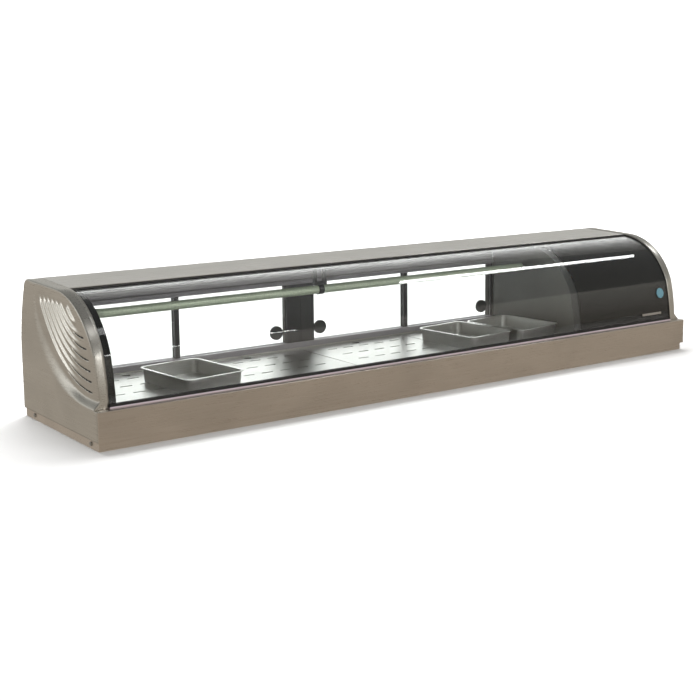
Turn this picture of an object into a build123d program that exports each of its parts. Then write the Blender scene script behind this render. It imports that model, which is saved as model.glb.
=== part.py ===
from build123d import *
import os
from math import cos, radians, sin

os.makedirs("parts", exist_ok=True)

# Countertop refrigerated display case. Millimetres, +Z up, +X to the customer's right, +Y to the rear.
# The origin is at the middle of the footprint, on the counter.
# Profiles are given by setback (distance behind the front skirt) and height above the counter;
# places along the case are given by their distance from its left end.

# Driving dimensions
WIDTH = 1500
DEPTH = 345
HEIGHT = 270
SHEET = 1.5
LEFT = -WIDTH / 2
FRONT = -DEPTH / 2

PLINTH_HEIGHT = 16.5
PLINTH_FLANGE = 30
LEDGE = 71.5
LEDGE_DEPTH = 30
BASE_TOP = PLINTH_HEIGHT + SHEET

CAP_WIDTH = 29.2
GLASS_START = 30
GLASS_END = WIDTH - GLASS_START
GLASS_THICK = 5

BAY_START = 44
PARTITION_START = 1158
PARTITION_END = 1178
BAY_FRONT = 31
BAY_REAR = 297
BAY_CEILING = 250

REAR_FACE = 333
SILL_TOP = 67
SERVICE_FACE = 328

# Front curve, as setback and height: a nearly upright lower sweep, a crease, and a curved upper sweep
CURVE_BASE = Vector(15.6, 64)
CURVE_LOW = Vector(20.9, 114)
CREASE = Vector(31, 163)
CURVE_HIGH = Vector(82.5, 231.7)
CURVE_TOP = Vector(171, 261.8)
CAP_HIGH = (82.5, 233.2)
CAP_TOP = (168, 265)

# Roof and rear outline
ROOF_REAR = (300, HEIGHT)
ROOF_BEND = (313.5, 263.5)
REAR_SHOULDER = (319, 250)
REAR_SWEEP = (339, 184)
REAR_UPRIGHT = (DEPTH, 140)


def side_plane(x):
    """Cross-section plane at a distance from the left end; sketch in setback and height."""
    return Plane(origin=(LEFT + x, FRONT, 0), x_dir=(0, 1, 0), z_dir=(1, 0, 0))


def plan_plane(z):
    """Level plane at a height; sketch in distance from the left end and setback."""
    return Plane(origin=(LEFT, FRONT, z))


def face_plane(setback):
    """Upright plane that faces the front; sketch in distance from the left end and height."""
    return Plane(origin=(LEFT, FRONT + setback, 0), x_dir=(1, 0, 0), z_dir=(0, -1, 0))


def place(x, setback, z):
    """Point given by distance from the left end, setback and height."""
    return Vector(LEFT + x, FRONT + setback, z)


def rectangle(u0, v0, u1, v1, mode=Mode.ADD):
    """Rectangle between two corners."""
    with Locations(((u0 + u1) / 2, (v0 + v1) / 2)):
        Rectangle(u1 - u0, v1 - v0, mode=mode)


def block(x0, x1, s0, s1, z0, z1, mode=Mode.ADD):
    """Upright block between two ends, two setbacks and two heights."""
    with BuildSketch(plan_plane(z0)) as footprint:
        rectangle(x0, s0, x1, s1)
    extrude(footprint.sketch, amount=z1 - z0, mode=mode)


def bore_back(x, z, radius, s0, s1, mode=Mode.SUBTRACT):
    """Round hole or bar that runs front to back."""
    with BuildSketch(face_plane(s0)) as section:
        with Locations((x, z)):
            Circle(radius)
    extrude(section.sketch, amount=s0 - s1, mode=mode)


def bore_across(setback, z, radius, x0, x1, mode=Mode.SUBTRACT):
    """Round hole or bar that runs from side to side."""
    with BuildSketch(side_plane(x0)) as section:
        with Locations((setback, z)):
            Circle(radius)
    extrude(section.sketch, amount=x1 - x0, mode=mode)


def export(builder, name):
    """Label the finished piece and write its file."""
    builder.part.label = name
    export_step(builder.part, f"parts/{name}.step")


def arc_centre(p, q, r):
    """Centre of the circle through three points."""
    a, b = q - p, r - p
    cross = 2 * (a.X * b.Y - a.Y * b.X)
    a2, b2 = a.X**2 + a.Y**2, b.X**2 + b.Y**2
    return p + Vector((b.Y * a2 - a.Y * b2) / cross, (a.X * b2 - b.X * a2) / cross)


LOWER_CENTRE = arc_centre(CURVE_BASE, CURVE_LOW, CREASE)
UPPER_CENTRE = arc_centre(CREASE, CURVE_HIGH, CURVE_TOP)
LOWER_RADIUS = (CREASE - LOWER_CENTRE).length
UPPER_RADIUS = (CREASE - UPPER_CENTRE).length


def curve_points(depth):
    """Five points that fix the two arcs of the front curve, moved inward by a depth."""
    lower, upper = LOWER_RADIUS - depth, UPPER_RADIUS - depth
    span = UPPER_CENTRE - LOWER_CENTRE
    along = (lower**2 - upper**2 + span.length**2) / (2 * span.length)
    aside = (lower**2 - along**2) ** 0.5
    unit = span.normalized()
    crossings = [LOWER_CENTRE + unit * along + Vector(-unit.Y, unit.X) * side * aside for side in (1, -1)]
    crease = min(crossings, key=lambda point: (point - CREASE).length)
    base, low = [p + (LOWER_CENTRE - p).normalized() * depth for p in (CURVE_BASE, CURVE_LOW)]
    high, top = [p + (UPPER_CENTRE - p).normalized() * depth for p in (CURVE_HIGH, CURVE_TOP)]
    return base, low, crease, high, top


def lower_setback(z, depth):
    """Setback of the lower sweep at a height."""
    return LOWER_CENTRE.X - ((LOWER_RADIUS - depth) ** 2 - (z - LOWER_CENTRE.Y) ** 2) ** 0.5


def curve_strip(outer, inner, mode=Mode.ADD):
    """Strip between two depths inside the front curve."""
    near, far = curve_points(outer), curve_points(inner)
    with BuildLine() as outline:
        ThreePointArc(near[0], near[1], near[2])
        ThreePointArc(near[2], near[3], near[4])
        Line(near[4], far[4])
        ThreePointArc(far[4], far[3], far[2])
        ThreePointArc(far[2], far[1], far[0])
        Line(far[0], near[0])
    make_face(outline.edges(), mode=mode)


# Plinth: a low folded frame that the case stands on, with a screw hole near each end of its sides
PLINTH_SCREW_Z = 8.4
PLINTH_SCREW_SETBACKS = (40, 298)
SCREW_RADIUS = 2
SCREW_HOLE = SCREW_RADIUS + 0.1
with BuildPart() as plinth:
    block(3, WIDTH - 3, 7, DEPTH - 4, 0, PLINTH_HEIGHT)
    block(3 + SHEET, WIDTH - 3 - SHEET, 7 + SHEET, DEPTH - 4 - SHEET, SHEET, PLINTH_HEIGHT - SHEET,
          mode=Mode.SUBTRACT)
    block(3 + PLINTH_FLANGE, WIDTH - 3 - PLINTH_FLANGE, 7 + PLINTH_FLANGE, DEPTH - 4 - PLINTH_FLANGE,
          0, PLINTH_HEIGHT, mode=Mode.SUBTRACT)
    for setback in PLINTH_SCREW_SETBACKS:
        bore_across(setback, PLINTH_SCREW_Z, SCREW_HOLE, 0, 6)
        bore_across(setback, PLINTH_SCREW_Z, SCREW_HOLE, WIDTH - 6, WIDTH)
export(plinth, "plinth")

# Base pan: the sheet floor of the case
PAN_FRONT, PAN_REAR = 14.5, 319.5
with BuildPart() as base_pan:
    block(PAN_FRONT, WIDTH - PAN_FRONT, PAN_FRONT, PAN_REAR, PLINTH_HEIGHT, BASE_TOP)
export(base_pan, "base_pan")

# Front skirt: a tall face, a ledge for the glass, a flange behind the ledge and a hem below
HEM = 14
FLANGE_DROP = 55
with BuildPart() as front_skirt:
    block(0, WIDTH, 0, SHEET, PLINTH_HEIGHT, LEDGE)
    block(SHEET, WIDTH - SHEET, SHEET, LEDGE_DEPTH, LEDGE - SHEET, LEDGE)
    block(SHEET, WIDTH - SHEET, SHEET, HEM, PLINTH_HEIGHT, BASE_TOP)
    block(CAP_WIDTH, WIDTH - CAP_WIDTH, LEDGE_DEPTH - SHEET, LEDGE_DEPTH, FLANGE_DROP, LEDGE - SHEET)
    fillet(front_skirt.edges().filter_by(Axis.X).group_by(Axis.Y)[0].sort_by(Axis.Z)[-1], 1.2)
export(front_skirt, "front_skirt")

# Drain: from the floor of the cold well down and out of the rear
DRAIN_X, DRAIN_SETBACK, DRAIN_Z = 1120, 262, 27
DRAIN_RADIUS, DRAIN_BORE, DRAIN_TIP = 6, 4.2, DEPTH - 0.5
HOSE_END_RADIUS, HOSE_END_START = 6.5, REAR_FACE + 0.5
LINER_FLOOR = 34
LINER_SHEET = 1


def drain_tube(radius, mode=Mode.ADD):
    """Bent tube along the drain's path."""
    with BuildLine() as path:
        FilletPolyline(
            place(DRAIN_X, DRAIN_SETBACK, LINER_FLOOR + LINER_SHEET + 0.8),
            place(DRAIN_X, DRAIN_SETBACK, DRAIN_Z),
            place(DRAIN_X, DRAIN_TIP, DRAIN_Z),
            radius=6.5,
        )
    with BuildSketch(Plane(origin=path.line @ 0, z_dir=path.line % 0)) as section:
        Circle(radius)
    sweep(section.sketch, path=path.line, mode=mode)


with BuildPart() as drain_spigot:
    drain_tube(DRAIN_RADIUS)
    with BuildSketch(plan_plane(LINER_FLOOR + LINER_SHEET)):
        with Locations((DRAIN_X, DRAIN_SETBACK)):
            Circle(10)
    extrude(amount=0.8)
    bore_back(DRAIN_X, DRAIN_Z, HOSE_END_RADIUS, HOSE_END_START, DRAIN_TIP, mode=Mode.ADD)
    drain_tube(DRAIN_BORE, mode=Mode.SUBTRACT)
export(drain_spigot, "drain_spigot")

# Rear sill: rear face, sill for the door track, and hem
with BuildPart() as rear_sill:
    block(CAP_WIDTH, WIDTH - CAP_WIDTH, REAR_FACE - SHEET, REAR_FACE, PLINTH_HEIGHT, SILL_TOP)
    block(CAP_WIDTH, WIDTH - CAP_WIDTH, BAY_REAR, REAR_FACE - SHEET, SILL_TOP - SHEET, SILL_TOP)
    block(CAP_WIDTH, WIDTH - CAP_WIDTH, PAN_REAR + 0.5, REAR_FACE - SHEET, PLINTH_HEIGHT, BASE_TOP)
    bore_back(DRAIN_X, DRAIN_Z, HOSE_END_RADIUS + 0.3, REAR_FACE - 3, REAR_FACE + 1)
export(rear_sill, "rear_sill")

# Foam under and around the cold well
with BuildPart() as well_insulation:
    with BuildSketch(side_plane(BAY_START)):
        rectangle(2, BASE_TOP, REAR_FACE - SHEET, FLANGE_DROP - 1)
        rectangle(BAY_REAR, BASE_TOP, REAR_FACE - SHEET, SILL_TOP - SHEET)
        rectangle(BAY_FRONT, LINER_FLOOR, BAY_REAR, LEDGE, mode=Mode.SUBTRACT)
    extrude(amount=PARTITION_START - BAY_START)
    drain_tube(DRAIN_RADIUS + 0.2, mode=Mode.SUBTRACT)
export(well_insulation, "well_insulation")

# Liner: the stainless cold well
with BuildPart() as liner:
    block(BAY_START, PARTITION_START, BAY_FRONT, BAY_REAR, LINER_FLOOR, SILL_TOP - SHEET)
    block(BAY_START + LINER_SHEET, PARTITION_START - LINER_SHEET, BAY_FRONT + LINER_SHEET,
          BAY_REAR - LINER_SHEET, LINER_FLOOR + LINER_SHEET, SILL_TOP, mode=Mode.SUBTRACT)
    with BuildSketch(plan_plane(LINER_FLOOR)):
        with Locations((DRAIN_X, DRAIN_SETBACK)):
            Circle(DRAIN_RADIUS + 0.2)
    extrude(amount=LINER_SHEET, mode=Mode.SUBTRACT)
export(liner, "liner")

# Evaporator coil: a serpentine tube on the floor of the well
COIL_RADIUS = 4
COIL_ROWS = (60, 120, 180, 240)
COIL_NEAR, COIL_FAR = PARTITION_START - LINER_SHEET - 0.5, 70
COIL_TURN = COIL_NEAR - 70
COIL_Z = LINER_FLOOR + LINER_SHEET + COIL_RADIUS + 1
coil_path = [place(COIL_NEAR, COIL_ROWS[0], COIL_Z)]
for row, setback in enumerate(COIL_ROWS):
    ends = (COIL_TURN, COIL_FAR) if row % 2 == 0 else (COIL_FAR, COIL_TURN)
    if row > 0:
        coil_path.append(place(ends[0], setback, COIL_Z))
    if row < len(COIL_ROWS) - 1:
        coil_path.append(place(ends[1], setback, COIL_Z))
coil_path.append(place(COIL_NEAR, COIL_ROWS[-1], COIL_Z))
with BuildPart() as evaporator_coil:
    with BuildLine() as coil_line:
        FilletPolyline(*coil_path, radius=28)
    with BuildSketch(Plane(origin=coil_line.line @ 0, z_dir=coil_line.line % 0)):
        Circle(COIL_RADIUS)
        Circle(COIL_RADIUS - 1, mode=Mode.SUBTRACT)
    sweep(path=coil_line.line)
export(evaporator_coil, "evaporator_coil")

# Deck: bridge bars over the coil, and the slotted plates that lie on them
DECK_Z, DECK_TOP = 62.5, 64
DECK_GAP = 2
DECK_FRONT, DECK_REAR = BAY_FRONT + 2, BAY_REAR - 3
DECK_START, DECK_END = BAY_START + 2, PARTITION_START - 2
PLATES = 4
PLATE_PITCH = (DECK_END - DECK_START) / PLATES
BAR = 14
with BuildPart() as deck_bars:
    for number in range(PLATES + 1):
        middle = min(max(DECK_START + number * PLATE_PITCH, DECK_START + BAR / 2), DECK_END - BAR / 2)
        block(middle - BAR / 2, middle + BAR / 2, DECK_FRONT, DECK_REAR, DECK_Z - 10, DECK_Z)
        for start in (DECK_FRONT, DECK_REAR - BAR):
            block(middle - BAR / 2, middle + BAR / 2, start, start + BAR, LINER_FLOOR + LINER_SHEET, DECK_Z - 10)
export(deck_bars, "deck_bars")

with BuildPart() as deck_plates:
    with BuildSketch(plan_plane(DECK_Z)):
        for number in range(PLATES):
            start = DECK_START + number * PLATE_PITCH
            middle = start + PLATE_PITCH / 2
            rectangle(start + DECK_GAP / 2, DECK_FRONT, start + PLATE_PITCH - DECK_GAP / 2, DECK_REAR)
            with Locations((middle, (DECK_FRONT + DECK_REAR) / 2)):
                with GridLocations(42, 58, 5, 4):
                    SlotOverall(26, 5, mode=Mode.SUBTRACT)
            with Locations((middle, DECK_REAR - 13)):
                Circle(9, mode=Mode.SUBTRACT)
    extrude(amount=DECK_TOP - DECK_Z)
export(deck_plates, "deck_plates")

# End caps: pressed shells with a leaf-shaped recess, raised ribs and vent slits
RECESS_DEPTH = 13.6
RECESS_FALL_BACK, RECESS_FALL_UP = 0.0282, 0.019
RIBS = 6
RIB_RADIUS = 2.2
RIB_SINK = 0.6
SLIT_WIDTH = 1.6
SLIT_DROP = 3.6
CAP_CENTRE = arc_centre(CREASE, Vector(CAP_HIGH), Vector(CAP_TOP))


def recess_floor(shift=0):
    """Tilted floor of the recess: deep at the front and bottom, shallow at the rear and top."""
    return Plane(
        origin=(LEFT + RECESS_DEPTH + shift, FRONT, 0),
        x_dir=(-RECESS_FALL_BACK, 1, 0),
        z_dir=(1, RECESS_FALL_BACK, RECESS_FALL_UP),
    )


def cap_outline(inset):
    """Side outline of an end cap above the ledge, moved inward all round."""
    foot = LEDGE - 2 * inset
    low, crease = curve_points(inset)[1:3]
    high = Vector(CAP_HIGH) + (CAP_CENTRE - Vector(CAP_HIGH)).normalized() * inset
    upright, sweep_by, shoulder, bend, roof, top = [
        Vector(point) + Vector(direction) * inset
        for point, direction in (
            (REAR_UPRIGHT, (-1, 0)),
            (REAR_SWEEP, (-0.98, -0.2)),
            (REAR_SHOULDER, (-0.93, -0.37)),
            (ROOF_BEND, (-0.72, -0.7)),
            (ROOF_REAR, (0, -1)),
            (CAP_TOP, (0.1, -1)),
        )
    ]
    with BuildLine() as outline:
        start = (lower_setback(foot, inset), foot)
        Polyline(start, (DEPTH - inset, foot), upright)
        ThreePointArc(upright, sweep_by, shoulder)
        ThreePointArc(shoulder, bend, roof)
        Line(roof, top)
        ThreePointArc(top, high, crease)
        ThreePointArc(crease, low, start)
    make_face(outline.edges())


def leaf(plane, edge):
    """Leaf-shaped region behind an edge curve, open past the front and the roof."""
    with BuildSketch(plane) as sketch:
        with BuildLine():
            Spline(*edge)
            Polyline(edge[-1], (edge[-1][0], 300), (-20, 300), (-20, edge[0][1]), edge[0])
        make_face()
    return sketch


def recess(shift):
    """Sloped hollow between the outer edge on the side face and the inner edge on the floor."""
    outer = leaf(side_plane(shift), [(0, 71.5), (80, 74), (163, 92), (234, 139), (269, 195), (272, 240), (262, 275)])
    inner = leaf(recess_floor(shift), [(0, 85), (80, 88), (146, 112), (210, 155), (252, 200), (263, 240), (256, 275)])
    loft(sections=[outer.sketch, inner.sketch], ruled=True)


def rib_points(number):
    """Start, pull point and end of a rib's sweep on the recess floor."""
    start = (248 - 18 * number, 250 - 0.28 * number**2)
    pull = (175 - 12 * number, 98 + 18.5 * number)
    end = (32 + 1.2 * number**2, 100 + 18.8 * number)
    return start, pull, end


def rib_point(number, t, drop=0):
    """Point along a rib's sweep, moved down by a drop."""
    start, pull, end = rib_points(number)
    weights = ((1 - t) ** 2, 2 * t * (1 - t), t**2)
    along, up = [sum(w * p[axis] for w, p in zip(weights, (start, pull, end))) for axis in (0, 1)]
    return along, up - drop


with BuildPart() as cap_hollow:
    with BuildSketch(side_plane(SHEET)):
        cap_outline(SHEET)
    extrude(amount=CAP_WIDTH)
with BuildPart() as recess_inner:
    recess(SHEET)
with BuildPart() as recess_outer:
    recess(0)
with BuildPart() as end_cap_left:
    with BuildSketch(side_plane(0)):
        cap_outline(0)
    extrude(amount=CAP_WIDTH)
    add(recess_outer.part, mode=Mode.SUBTRACT)
    add(cap_hollow.part - recess_inner.part, mode=Mode.SUBTRACT)
    block(0, SHEET, SHEET, DEPTH, PLINTH_HEIGHT, LEDGE)
    block(SHEET, CAP_WIDTH, DEPTH - SHEET, DEPTH, PLINTH_HEIGHT, LEDGE)
    block(SHEET, HEM, PAN_FRONT, PAN_REAR, PLINTH_HEIGHT, BASE_TOP)
    for number in range(RIBS):
        with BuildLine(recess_floor(RIB_SINK)) as rib_line:
            Bezier(*rib_points(number))
        with BuildSketch(Plane(origin=rib_line.line @ 0, z_dir=rib_line.line % 0)):
            Circle(RIB_RADIUS)
        sweep(path=rib_line.line)
    with BuildLine(recess_floor(RIB_SINK)) as short_rib:
        Bezier((128, 240), (110, 214), (86, 210))
    with BuildSketch(Plane(origin=short_rib.line @ 0, z_dir=short_rib.line % 0)):
        Circle(RIB_RADIUS)
    sweep(path=short_rib.line)
    with BuildSketch(recess_floor(-6)):
        for number in range(RIBS):
            with BuildLine():
                ThreePointArc(*[rib_point(number, t, SLIT_DROP) for t in (0.64, 0.8, 0.96)])
            trace(line_width=SLIT_WIDTH)
    extrude(amount=16, mode=Mode.SUBTRACT)
export(end_cap_left, "end_cap_left")

with BuildPart() as end_cap_right:
    mirror(end_cap_left.part, about=Plane.YZ)
export(end_cap_right, "end_cap_right")

# End wall and partition of the cold bay
PIPE_RADIUS = 8.75
PIPE_SETBACK, PIPE_Z = 200, 207
PIPE_EXIT_SETBACK = 262
PIPE_CLEARANCE = 0.3
WALL_FRONT_DEPTH = 7


def bay_wall(x0, x1):
    """Upright wall across the bay, shaped to the glass."""
    base, low, crease, high, top = curve_points(WALL_FRONT_DEPTH)
    with BuildSketch(side_plane(x0)) as section:
        with BuildLine() as outline:
            ThreePointArc(base, low, crease)
            ThreePointArc(crease, high, top)
            Polyline(top, (BAY_REAR, top.Y), (BAY_REAR, BASE_TOP), (base.X, BASE_TOP), base)
        make_face(outline.edges())
        rectangle(0, BAY_CEILING, DEPTH, HEIGHT, mode=Mode.SUBTRACT)
        rectangle(0, 0, BAY_FRONT, LEDGE + 1, mode=Mode.SUBTRACT)
    extrude(section.sketch, amount=x1 - x0)


with BuildPart() as end_wall:
    bay_wall(BAY_FRONT, BAY_START)
    bore_across(PIPE_EXIT_SETBACK, PIPE_Z, PIPE_RADIUS + PIPE_CLEARANCE, BAY_FRONT, BAY_START)
export(end_wall, "end_wall")

SUCTION_SETBACK, SUCTION_Z = 232, 200
LIQUID_SETBACK, LIQUID_Z = 277, 185
LINE_RADIUS = 3
with BuildPart() as partition:
    bay_wall(PARTITION_START, PARTITION_END)
    bore_across(PIPE_SETBACK, PIPE_Z, PIPE_RADIUS + PIPE_CLEARANCE, PARTITION_START, PARTITION_END)
    for setback, z in ((SUCTION_SETBACK, SUCTION_Z), (LIQUID_SETBACK, LIQUID_Z)):
        bore_across(setback, z, LINE_RADIUS + PIPE_CLEARANCE, PARTITION_START, PARTITION_END)
export(partition, "partition")

# Front glass, the black masks printed behind it, and the seals round it
GLASS_FOOT = 73.5
SEAL_TOP = 79
SEAL_LIP = 1.5
MASK_THICK = 0.5
MASK_LEFT_WIDTH = 14
with BuildPart() as front_glass:
    with BuildSketch(side_plane(GLASS_START)):
        curve_strip(0, GLASS_THICK)
        rectangle(0, 0, DEPTH, GLASS_FOOT, mode=Mode.SUBTRACT)
    extrude(amount=GLASS_END - GLASS_START)
export(front_glass, "front_glass")

with BuildPart() as glass_masks:
    for start, end in ((GLASS_START, GLASS_START + MASK_LEFT_WIDTH), (PARTITION_END, GLASS_END)):
        with BuildSketch(side_plane(start)):
            curve_strip(GLASS_THICK, GLASS_THICK + MASK_THICK)
            rectangle(0, 0, DEPTH, SEAL_TOP + 0.2, mode=Mode.SUBTRACT)
        extrude(amount=end - start)
export(glass_masks, "glass_masks")

with BuildPart() as glass_base_seal:
    with BuildSketch(side_plane(GLASS_START)):
        curve_strip(-SEAL_LIP, GLASS_THICK + SEAL_LIP)
        rectangle(0, 0, DEPTH, LEDGE, mode=Mode.SUBTRACT)
        rectangle(0, SEAL_TOP, DEPTH, HEIGHT, mode=Mode.SUBTRACT)
    extrude(amount=GLASS_END - GLASS_START)
    add(front_glass.part, mode=Mode.SUBTRACT)
export(glass_base_seal, "glass_base_seal")

TOP_SEAL_THICK = 1.3
with BuildPart() as glass_top_seal:
    with BuildSketch(side_plane(GLASS_START)):
        curve_strip(-TOP_SEAL_THICK, 0)
        rectangle(0, 0, CURVE_TOP.X - 11, HEIGHT, mode=Mode.SUBTRACT)
    extrude(amount=GLASS_END - GLASS_START)
export(glass_top_seal, "glass_top_seal")

with BuildPart() as glass_side_seals:
    for start in (CAP_WIDTH, GLASS_END):
        with BuildSketch(side_plane(start)):
            curve_strip(0, GLASS_THICK)
            rectangle(0, 0, DEPTH, GLASS_FOOT, mode=Mode.SUBTRACT)
        extrude(amount=GLASS_START - CAP_WIDTH)
export(glass_side_seals, "glass_side_seals")

# Roof panel: a sheet from the glass over the rear edge, and the insulated ceiling under it
ROOF_FRONT = CAP_TOP
ROOF_TAIL = (328.2, 224)
PANEL_START, PANEL_END = CAP_WIDTH + 0.3, WIDTH - CAP_WIDTH - 0.3
with BuildPart() as roof_panel:
    with BuildSketch(side_plane(PANEL_START)):
        with BuildLine():
            Line(ROOF_FRONT, ROOF_REAR)
            ThreePointArc(ROOF_REAR, ROOF_BEND, REAR_SHOULDER)
            Line(REAR_SHOULDER, ROOF_TAIL)
            tail_inner = Vector(ROOF_TAIL) + Vector(-SHEET, 0)
            shoulder_inner = Vector(REAR_SHOULDER) + Vector(-SHEET, -0.4)
            bend_inner = Vector(ROOF_BEND) + Vector(-1.1, -1.1)
            roof_inner = Vector(ROOF_REAR) + Vector(-0.2, -SHEET)
            Line(ROOF_TAIL, tail_inner)
            Line(tail_inner, shoulder_inner)
            ThreePointArc(shoulder_inner, bend_inner, roof_inner)
            Polyline(roof_inner, Vector(ROOF_FRONT) + Vector(0, -SHEET), ROOF_FRONT)
        make_face()
    extrude(amount=PANEL_END - PANEL_START)
export(roof_panel, "roof_panel")

with BuildPart() as ceiling_panel:
    with BuildSketch(side_plane(BAY_FRONT)):
        with BuildLine():
            Polyline((177, BAY_CEILING), (BAY_REAR, BAY_CEILING), (BAY_REAR, 263), (177, 262), close=True)
        make_face()
    extrude(amount=PARTITION_END - BAY_FRONT)
export(ceiling_panel, "ceiling_panel")

# Rear frame: upper track with a stepped front, lower track, centre post and jambs
TRACK_FRONT, TRACK_REAR = 298, 322
TRACK_BOTTOM = 208
LOWER_TRACK_TOP = 79
PANE_THICK = 4
GROOVE = PANE_THICK + 0.8
INNER_TRACK, OUTER_TRACK = 306, 314.5
GROOVE_TOP, GROOVE_FLOOR = 221, 72
POST_START, POST_END = 573, 643
POST_FRONT, POST_REAR = 300, 320
JAMB = 6
with BuildPart() as upper_track:
    with BuildSketch(side_plane(BAY_START)):
        with BuildLine():
            Polyline(
                (TRACK_REAR, TRACK_BOTTOM), (TRACK_REAR, 224), (312, 224), (312, 256), (297.5, 256),
                (297.5, 244), (300.5, 243), (300.5, 235), (297, 234), (297, 227.5), (300, 226.5),
                (300, 219.5), (295.5, 218.5), (295.5, 211.5), (TRACK_FRONT, 210.5), (TRACK_FRONT, TRACK_BOTTOM),
                close=True,
            )
        make_face()
        for centre in (INNER_TRACK, OUTER_TRACK):
            rectangle(centre - GROOVE / 2, TRACK_BOTTOM - 1, centre + GROOVE / 2, GROOVE_TOP, mode=Mode.SUBTRACT)
    extrude(amount=PARTITION_START - BAY_START)
export(upper_track, "upper_track")

with BuildPart() as lower_track:
    with BuildSketch(side_plane(BAY_START)):
        rectangle(TRACK_FRONT, SILL_TOP, TRACK_REAR, LOWER_TRACK_TOP)
        for centre in (INNER_TRACK, OUTER_TRACK):
            rectangle(centre - GROOVE / 2, GROOVE_FLOOR, centre + GROOVE / 2, LOWER_TRACK_TOP + 1,
                      mode=Mode.SUBTRACT)
    extrude(amount=PARTITION_START - BAY_START)
export(lower_track, "lower_track")


def post(x0, x1, groove_start, groove_end, track):
    """Upright frame member with a groove that takes a closed door's edge."""
    block(x0, x1, POST_FRONT, POST_REAR, LOWER_TRACK_TOP, TRACK_BOTTOM)
    block(groove_start, groove_end, track - GROOVE / 2, track + GROOVE / 2, LOWER_TRACK_TOP, TRACK_BOTTOM,
          mode=Mode.SUBTRACT)


with BuildPart() as centre_post:
    post(POST_START, POST_END, POST_START, POST_START + 5, INNER_TRACK)
    block(POST_END - 5, POST_END, OUTER_TRACK - GROOVE / 2, OUTER_TRACK + GROOVE / 2,
          LOWER_TRACK_TOP, TRACK_BOTTOM, mode=Mode.SUBTRACT)
    post_middle = (POST_START + POST_END) / 2
    for start in (POST_FRONT, POST_REAR - 1):
        block(post_middle - 1, post_middle + 1, start, start + 1, LOWER_TRACK_TOP, TRACK_BOTTOM,
              mode=Mode.SUBTRACT)
export(centre_post, "centre_post")

with BuildPart() as door_jambs:
    post(BAY_START, BAY_START + JAMB, BAY_START + 2, BAY_START + JAMB, OUTER_TRACK)
    post(PARTITION_START - JAMB, PARTITION_START, PARTITION_START - JAMB, PARTITION_START - 2, INNER_TRACK)
export(door_jambs, "door_jambs")

# Sliding doors: a clear pane, a dark stile on the meeting edge and a round finger cup
PANE_BOTTOM, PANE_TOP = GROOVE_FLOOR + 0.4, 218
STILE_WIDTH = 11
STILE_THICK = 7.2
STILE_BOTTOM, STILE_TOP = LOWER_TRACK_TOP + 0.5, TRACK_BOTTOM - 0.5
CUP_RADIUS, CUP_BORE = 15, 12
CUP_INSET = 28
CUP_Z = 104
DOORS = (
    (1, BAY_START + 2.5, 317, OUTER_TRACK, 1),
    (2, 306, POST_START + 4, INNER_TRACK, -1),
    (3, POST_END - 4, 903, OUTER_TRACK, 1),
    (4, 892, PARTITION_START - 2.5, INNER_TRACK, -1),
)
for number, start, end, track, slide in DOORS:
    stile_start = end - STILE_WIDTH if slide > 0 else start
    cup_x = start + CUP_INSET if slide > 0 else end - CUP_INSET
    with BuildPart() as door_stile:
        block(stile_start, stile_start + STILE_WIDTH, track - STILE_THICK / 2, track + STILE_THICK / 2,
              STILE_BOTTOM, STILE_TOP)
        fillet(door_stile.edges().filter_by(Axis.Z), 1)
        block(stile_start if slide > 0 else stile_start + 1.5,
              stile_start + STILE_WIDTH - 1.5 if slide > 0 else stile_start + STILE_WIDTH,
              track - PANE_THICK / 2, track + PANE_THICK / 2, STILE_BOTTOM, STILE_TOP, mode=Mode.SUBTRACT)
    with BuildPart() as door_cup:
        bore_back(cup_x, CUP_Z, CUP_RADIUS, track - STILE_THICK / 2, track + STILE_THICK / 2, mode=Mode.ADD)
        bore_back(cup_x, CUP_Z, CUP_BORE, track - STILE_THICK / 2 + 1.2, track + STILE_THICK / 2)
        with BuildSketch(face_plane(track - PANE_THICK / 2)):
            with Locations((cup_x, CUP_Z)):
                Circle(CUP_RADIUS + 1)
                Circle(CUP_BORE + 1, mode=Mode.SUBTRACT)
        extrude(amount=-PANE_THICK, mode=Mode.SUBTRACT)
    with BuildPart() as door_pane:
        edge_start = start if slide > 0 else start + 1.5
        edge_end = end - 1.5 if slide > 0 else end
        block(edge_start, edge_end, track - PANE_THICK / 2, track + PANE_THICK / 2, PANE_BOTTOM, PANE_TOP)
        bore_back(cup_x, CUP_Z, CUP_BORE + 1, track - PANE_THICK, track + PANE_THICK)
    export(door_pane, f"door_{number}_pane")
    export(door_stile, f"door_{number}_stile")
    export(door_cup, f"door_{number}_cup")

# Upper evaporator pipe along the top of the bay, and its hanger
PIPE_TURN_X = 80
with BuildPart() as chill_pipe:
    with BuildLine() as chill_line:
        FilletPolyline(
            place(PARTITION_END - 1, PIPE_SETBACK, PIPE_Z),
            place(PIPE_TURN_X, PIPE_SETBACK, PIPE_Z),
            place(PIPE_TURN_X, PIPE_EXIT_SETBACK, PIPE_Z),
            place(BAY_FRONT + 2, PIPE_EXIT_SETBACK, PIPE_Z),
            radius=[34, 20],
        )
    with BuildSketch(Plane(origin=chill_line.line @ 0, z_dir=chill_line.line % 0)):
        Circle(PIPE_RADIUS)
        Circle(PIPE_RADIUS - 1.2, mode=Mode.SUBTRACT)
    sweep(path=chill_line.line)
export(chill_pipe, "chill_pipe")

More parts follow.
